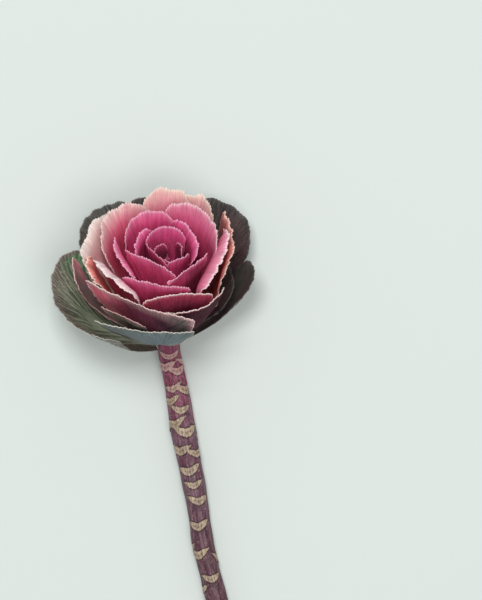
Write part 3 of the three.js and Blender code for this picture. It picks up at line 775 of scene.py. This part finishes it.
def scar_shapes(scars, distance, turn, radius):
    """Where the stem's scars, their dark outlines and their dots lie, and how high they stand."""
    mark, outline, dots, height = (np.zeros(turn.shape) for _ in range(4))
    rng = np.random.default_rng(7)
    for middle, angle in scars:
        size, lean = rng.uniform(*SCAR_SIZES), rng.normal(0, SCAR_LEAN)
        rows = np.abs(distance[:, 0] - middle) < SCAR_SPAN
        away = turn[rows] - angle
        x = radius[rows] * np.arctan2(np.sin(away), np.cos(away)) / size
        y = (distance[rows] - middle) / size - lean * x
        y = y - SCAR_RISE * np.abs(x) ** SCAR_RISE_POWER
        body = np.sqrt(clamp(1 - (x / SCAR_HALF_WIDTH) ** 2))
        arm = clamp(1 - np.abs(x) / SCAR_ARM)
        half = (SCAR_THICKNESS * body + SCAR_ARM_THICKNESS * smooth(3 * arm)) / 2
        inside = smooth((half - np.abs(y)) / 0.35 + 0.5) * smooth(4 * arm)
        off_ring = (np.abs(y) - half - OUTLINE_OFFSET) / OUTLINE_WIDTH
        ring = np.exp(-off_ring**2) * smooth(4 * arm)
        spots = sum(np.exp(-((x - at) ** 2 + y**2) / DOT_RADIUS**2) for at in DOT_PLACES)
        above = y + half
        step = smooth((above + 0.4) / 0.6) * np.exp(-np.clip(above, 0, None) / SCAR_LIP_LENGTH)
        lip = SCAR_LIP * step * smooth(1.6 * arm) - SCAR_HOLLOW * inside
        mark[rows] = np.maximum(mark[rows], inside)
        outline[rows] = np.maximum(outline[rows] * (1 - inside), ring)
        dots[rows] = np.maximum(dots[rows], spots * inside)
        height[rows] = np.maximum(height[rows], lip)
    return mark, outline, dots, height


def build_stem():
    line, run = stem_line()
    bare_length = run[-1] - CORE_TOP
    bare = np.linspace(0, bare_length, int(bare_length / STEM_RING_PITCH))
    distance = np.concatenate([bare, np.linspace(bare_length, run[-1], 30)[1:]])
    middle = np.stack([np.interp(distance, run, line[:, axis]) for axis in range(3)], -1)
    forward = unit(np.gradient(middle, distance, axis=0))
    above = unit(np.array([0, 0, 1.0]) - forward * forward[:, 2:])
    beside = np.cross(forward, above)
    turn = np.linspace(-math.pi, math.pi, STEM_SIDES, endpoint=False)[None, :]
    turn, distance = np.broadcast_arrays(turn, distance[:, None])

    # The bare stem swells in its upper part and carries the scars; the core in the head tapers.
    share = clamp(distance / bare_length)
    upper = clamp((share - SWELLING_FROM) / (1 - SWELLING_FROM))
    radius = mix(CUT_RADIUS, NECK_RADIUS, share) + SWELLING * np.sin(math.pi * upper) ** 2
    in_head = distance > bare_length
    radius = np.where(in_head, core_radius(distance - bare_length), radius)
    scars = stem_scars(bare_length)
    mark, outline, dots, height = scar_shapes(scars, distance, turn, radius)
    rng = np.random.default_rng(11)
    ridges, knobs = Wobble(rng, 2.6, 24), Wobble(rng, 16, 9)
    x, y = radius * np.cos(turn), radius * np.sin(turn)
    rough = RIDGE_HEIGHT * ridges(x + distance * 0.02, y) + KNOB_HEIGHT * knobs(distance, x)
    radius = radius + np.where(in_head, 0, height + rough)

    # The cut end: a narrow bevel, then a hollowed face in smaller and smaller rings.
    radius = radius * mix(BEVEL_SHARE, 1, clamp(distance / BEVEL_LENGTH) ** 0.5)
    way = np.cos(turn)[..., None] * above[:, None] + np.sin(turn)[..., None] * beside[:, None]
    wall = middle[:, None] + way * radius[..., None]
    end_shares = np.linspace(0.08, 0.96, CUT_RINGS)
    cut = middle[0] + (wall[0] - middle[0]) * end_shares[:, None, None]
    cut = cut + forward[0] * (CUT_HOLLOW * (1 - end_shares))[:, None, None]
    ends = [middle[0] + forward[0] * CUT_HOLLOW, middle[-1]]
    points, faces = tube(np.concatenate([cut, wall]), ends)

    def field(wall_values, cut_values, ends_values):
        return np.concatenate([np.repeat(cut_values, STEM_SIDES), wall_values.ravel(), ends_values])

    none = np.zeros(CUT_RINGS)
    place = np.stack([6 * np.cos(turn), 6 * np.sin(turn), distance], -1).reshape(-1, 3)
    below = bare_length - distance
    return new_mesh("stem_detailed", (HEAD_BASE + points) * MM, faces, {
        "scar": field(mark, none, [0, 0]),
        "outline": field(outline, none, [0, 0]),
        "dots": field(dots, none, [0, 0]),
        "below": field(below, np.full(CUT_RINGS, bare_length), [bare_length, 0]),
        "cut": field(np.full(turn.shape, 2.0), end_shares, [0, 2]),
        "flow": np.concatenate([points[:CUT_RINGS * STEM_SIDES], place, points[-2:]]),
    })


# ---- Materials ----
class Nodes:
    """Short calls for building a material's node tree."""

    def __init__(self, name):
        self.material = bpy.data.materials.new(name)
        self.material.use_nodes = True
        self.tree = self.material.node_tree
        self.shader = self.tree.nodes["Principled BSDF"]

    def new(self, kind, inputs=None, **settings):
        """A node with its settings made, and its inputs fed by name or number."""
        node = self.tree.nodes.new(kind)
        for key, value in settings.items():
            setattr(node, key, value)
        for key, value in (inputs or {}).items():
            self.feed(node.inputs[key], value)
        return node

    def feed(self, socket, value):
        if isinstance(value, bpy.types.NodeSocket):
            self.tree.links.new(value, socket)
        else:
            socket.default_value = value

    def attribute(self, name, output="Fac"):
        return self.new("ShaderNodeAttribute", attribute_name=name).outputs[output]

    def math(self, operation, a, b=0.0):
        return self.new("ShaderNodeMath", {0: a, 1: b}, operation=operation).outputs[0]

    def add(self, a, b):
        return self.math("ADD", a, b)

    def subtract(self, a, b):
        return self.math("SUBTRACT", a, b)

    def multiply(self, a, b):
        return self.math("MULTIPLY", a, b)

    def swing(self, noise, size):
        """Noise as a value about zero, from -size/2 to size/2."""
        return self.multiply(self.subtract(noise, 0.5), size)

    def span(self, value, low, high, to_low=0.0, to_high=1.0):
        """Where a value lies from low to high, as a number from to_low to to_high."""
        inputs = dict(enumerate((value, low, high, to_low, to_high)))
        return self.new("ShaderNodeMapRange", inputs, clamp=True).outputs[0]

    def tones(self, value, full, stops):
        """A colour ramp over values from 0 to full; its stops are (value, colour)."""
        node = self.new("ShaderNodeValToRGB", {0: self.math("DIVIDE", value, full)})
        elements = node.color_ramp.elements
        for index, (at, colour) in enumerate(stops):
            element = elements[index] if index < 2 else elements.new(at / full)
            element.position = at / full
            element.color = rgb(colour)
        return node.outputs[0]

    def blend(self, share, a, b, how="MIX"):
        """Colour a with colour b over it; a mix node's colours are its inputs 6 and 7, output 2."""
        inputs = {0: share, 6: a, 7: b}
        return self.new("ShaderNodeMix", inputs, data_type="RGBA", blend_type=how).outputs[2]

    def shaded(self, colour, amount):
        """A colour made darker, or lighter where the amount is above 1."""
        grey = self.new("ShaderNodeCombineColor", {0: amount, 1: amount, 2: amount})
        return self.blend(1.0, colour, grey.outputs[0], "MULTIPLY")

    def noise(self, vector, stretch, detail=2.0, rough=0.5):
        place = self.new("ShaderNodeMapping", {"Vector": vector, "Scale": stretch})
        inputs = {"Vector": place.outputs[0], "Scale": 1.0, "Detail": detail, "Roughness": rough}
        return self.new("ShaderNodeTexNoise", inputs).outputs[0]

    def bump(self, height, strength, distance):
        inputs = {"Strength": strength, "Distance": distance, "Height": height}
        self.feed(self.shader.inputs["Normal"], self.new("ShaderNodeBump", inputs).outputs[0])

    def finished(self, colour, roughness, gloss):
        self.feed(self.shader.inputs["Base Color"], colour)
        self.feed(self.shader.inputs["Roughness"], roughness)
        self.shader.inputs["Specular IOR Level"].default_value = gloss
        return self.material


def leaf_material(name, look):
    """Colour from the edge inwards, streaked along the veins, with pale veins and a pale edge."""
    n = Nodes(name)
    flow = n.attribute("flow", "Vector")
    edge = n.attribute("edge")
    streak = n.noise(flow, (1.0, 0.1, 1), detail=3, rough=0.6)
    hair = n.noise(flow, (0.5, 0.05, 1), detail=2)
    blotch = n.noise(flow, (0.16, 0.12, 1), detail=2)
    grain = n.noise(flow, (2.2, 2.2, 1), detail=3, rough=0.65)
    meander = n.noise(flow, (0.34, 0.13, 1), detail=2)

    # Fine lines run in from the notches between the teeth and die out inside the leaf.
    wave = n.math("ABSOLUTE", n.math("SINE", n.multiply(n.attribute("teeth"), math.pi)))
    fading = n.multiply(n.span(edge, 1, 11, 1.0, 0.0), n.span(streak, 0.4, 0.6, 0.15, 1.0))
    notch = n.math("POWER", n.subtract(1.0, wave), 1.6)
    comb = n.multiply(n.subtract(notch, 0.25), fading)

    # Streaks and lines carry the edge's colour inwards and the middle's outwards.
    uneven = n.add(n.swing(streak, 0.9), n.swing(blotch, 0.5))
    depth = n.add(n.multiply(edge, n.add(uneven, 1.0)), n.multiply(comb, look["comb"]))
    inner, outer = (n.tones(depth, RAMP_DEPTH, look[side]) for side in ("inner", "outer"))
    colour = n.blend(n.attribute("underside"), inner, outer)
    for middle, reach, inside, tint, amount in look["tints"]:
        away = n.math("ABSOLUTE", n.subtract(n.attribute("across"), middle))
        beside = n.span(away, 0.3 * reach, reach, amount, 0.0)
        colour = n.blend(n.multiply(beside, n.span(depth, inside, inside + 3)), colour, rgb(tint))

    contrast = look["streak"]
    shade = n.add(n.multiply(hair, 0.5), n.multiply(streak, 0.5))
    shade = n.span(shade, 0.36, 0.64, 1 - 0.6 * contrast, 1 + 0.4 * contrast)
    colour = n.shaded(colour, n.subtract(shade, n.multiply(comb, 0.25)))
    colour = n.blend(n.span(grain, 0.35, 0.65, 0.3 * contrast, 0.0), colour, rgb(look["dark"]))

    # Veins: a net of fine lines where one noise crosses its middle value, then the modelled ones.
    line = n.span(n.math("ABSOLUTE", n.subtract(meander, 0.5)), 0.006, 0.024, look["net"], 0.0)
    colour = n.blend(n.multiply(line, n.span(edge, 0.5, 3)), colour, rgb(look["vein"]))
    vein = n.multiply(n.attribute("vein"), look["vein_share"])
    colour = n.blend(vein, colour, rgb(look["vein"]))
    rim = n.span(edge, look["edge_width"] * 0.5, look["edge_width"] * 1.4, 1.0, 0.0)
    rim = n.multiply(rim, n.span(wave, 0.1, 0.6, look["bead"], 1.0))
    colour = n.blend(rim, colour, rgb(look["edge"]))

    relief = n.add(n.multiply(streak, 0.7), n.multiply(grain, 0.3))
    n.bump(n.subtract(relief, n.multiply(comb, 0.5)), 0.55, 0.35 * MM)
    roughness = n.span(grain, 0.3, 0.7, look["rough"] - 0.08, look["rough"] + 0.1)
    return n.finished(colour, roughness, look["gloss"])


def bud_material():
    n = Nodes("bud_skin")
    grain = n.noise(n.attribute("flow", "Vector"), (1.2, 1.2, 0.3), detail=3)
    colour = n.tones(n.attribute("fold"), 1, BUD_COLOURS)
    colour = n.shaded(colour, n.span(grain, 0.3, 0.7, 0.75, 1.2))
    n.bump(grain, 0.4, 0.3 * MM)
    return n.finished(colour, 0.45, 0.5)


def stem_material():
    """Purple bark in long streaks, tan leaf scars with dark outlines and dots, a pale cut end."""
    n = Nodes("stem_bark")
    flow = n.attribute("flow", "Vector")
    below = n.attribute("below")
    streak = n.noise(flow, (0.75, 0.75, 0.06), detail=3, rough=0.62)
    thread = n.noise(flow, (1.8, 1.8, 0.16), detail=2)
    blotch = n.noise(flow, (0.12, 0.12, 0.1), detail=3)
    speck = n.noise(flow, (1.5, 1.5, 1.1), detail=2, rough=0.7)
    crease = n.noise(flow, (0.42, 0.42, 0.22), detail=3, rough=0.7)

    place = n.add(below, n.swing(blotch, 40))
    colour = n.tones(place, STEM_RAMP, STEM_COLOURS)
    pale = n.tones(place, STEM_RAMP, STEM_STREAKS)
    colour = n.blend(n.span(streak, 0.46, 0.62), colour, pale)
    colour = n.shaded(colour, n.span(thread, 0.32, 0.68, 0.62, 1.3))
    colour = n.blend(n.span(speck, 0.62, 0.7, 0.0, 0.5), colour, rgb(0xB08C84))
    colour = n.blend(n.span(crease, 0.54, 0.62, 0.0, 0.7), colour, rgb(0x3E242E))
    colour = n.blend(n.span(crease, 0.34, 0.42, 0.5, 0.0), colour, rgb(0x967A72))

    # The scars are tan, and pinkish just below the head.
    colour = n.blend(n.attribute("outline"), colour, rgb(0x3C2028))
    tan = n.blend(n.span(thread, 0.38, 0.62), rgb(0x8C7866), rgb(0xC4B296))
    tan = n.blend(n.span(below, 14, 30, 0.6, 0.0), tan, rgb(0xCE969C))
    scar = n.span(n.add(n.attribute("scar"), n.swing(speck, SCAR_WEAR)), 0.42, 0.62)
    colour = n.blend(scar, colour, tan)
    colour = n.blend(n.attribute("dots"), colour, rgb(0x5C3C32))

    cut = n.attribute("cut")
    pith = n.shaded(n.tones(cut, 1, CUT_COLOURS), n.span(speck, 0.3, 0.7, 0.86, 1.06))
    colour = n.blend(n.span(cut, 1.0, 1.3, 1.0, 0.0), colour, pith)
    n.bump(n.add(n.multiply(streak, 0.6), n.multiply(thread, 0.4)), 0.6, 0.4 * MM)
    return n.finished(colour, n.span(thread, 0.3, 0.7, 0.42, 0.66), 0.4)


def finish_piece(piece, material, node):
    piece.data.materials.append(material)
    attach(piece, "root")
    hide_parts(node)


materials = {key: leaf_material(key + "_leaf", entry) for key, entry in LOOKS.items()}
for number, row in enumerate(LEAVES):
    leaf = Leaf(row, number)
    finish_piece(build_leaf(leaf), materials[leaf.look], leaf.name)
finish_piece(build_bud(), bud_material(), "bud")
finish_piece(build_stem(), stem_material(), "stem")

# ---- The stage ----
bpy.ops.mesh.primitive_plane_add(size=FLOOR_SIZE)
floor = bpy.context.object
floor.name = "floor"
floor.data.materials.append(Nodes("floor_paper").finished(rgb(0xDEE6E1), 0.9, 0.5))

world = bpy.data.worlds.new("studio")
bpy.context.scene.world = world
world.use_nodes = True
background = world.node_tree.nodes["Background"]
background.inputs["Color"].default_value = rgb(0xFAFAFC)
background.inputs["Strength"].default_value = WORLD_STRENGTH

for name, place, size, power in LAMPS:
    light = bpy.data.lights.new(name, "AREA")
    light.shape = "SQUARE"
    light.size = size
    light.energy = power
    lamp = new_object(name, light)
    lamp.location = place
    lamp.rotation_mode = "QUATERNION"
    lamp.rotation_quaternion = (Vector(LAMPS_AIM) - Vector(place)).to_track_quat("-Z", "Y")

# The picture is upright, so the sensor's width spans its height.
camera_data = bpy.data.cameras.new("camera")
camera_data.sensor_width = SENSOR_WIDTH
camera_data.lens = SENSOR_WIDTH * (CAMERA_HEIGHT - HEAD_MIDDLE) / VIEW_HEIGHT
camera = new_object("camera", camera_data)
camera.location = (*CAMERA_OVER, CAMERA_HEIGHT)
bpy.context.scene.camera = camera

bpy.context.scene.view_settings.view_transform = "Standard"
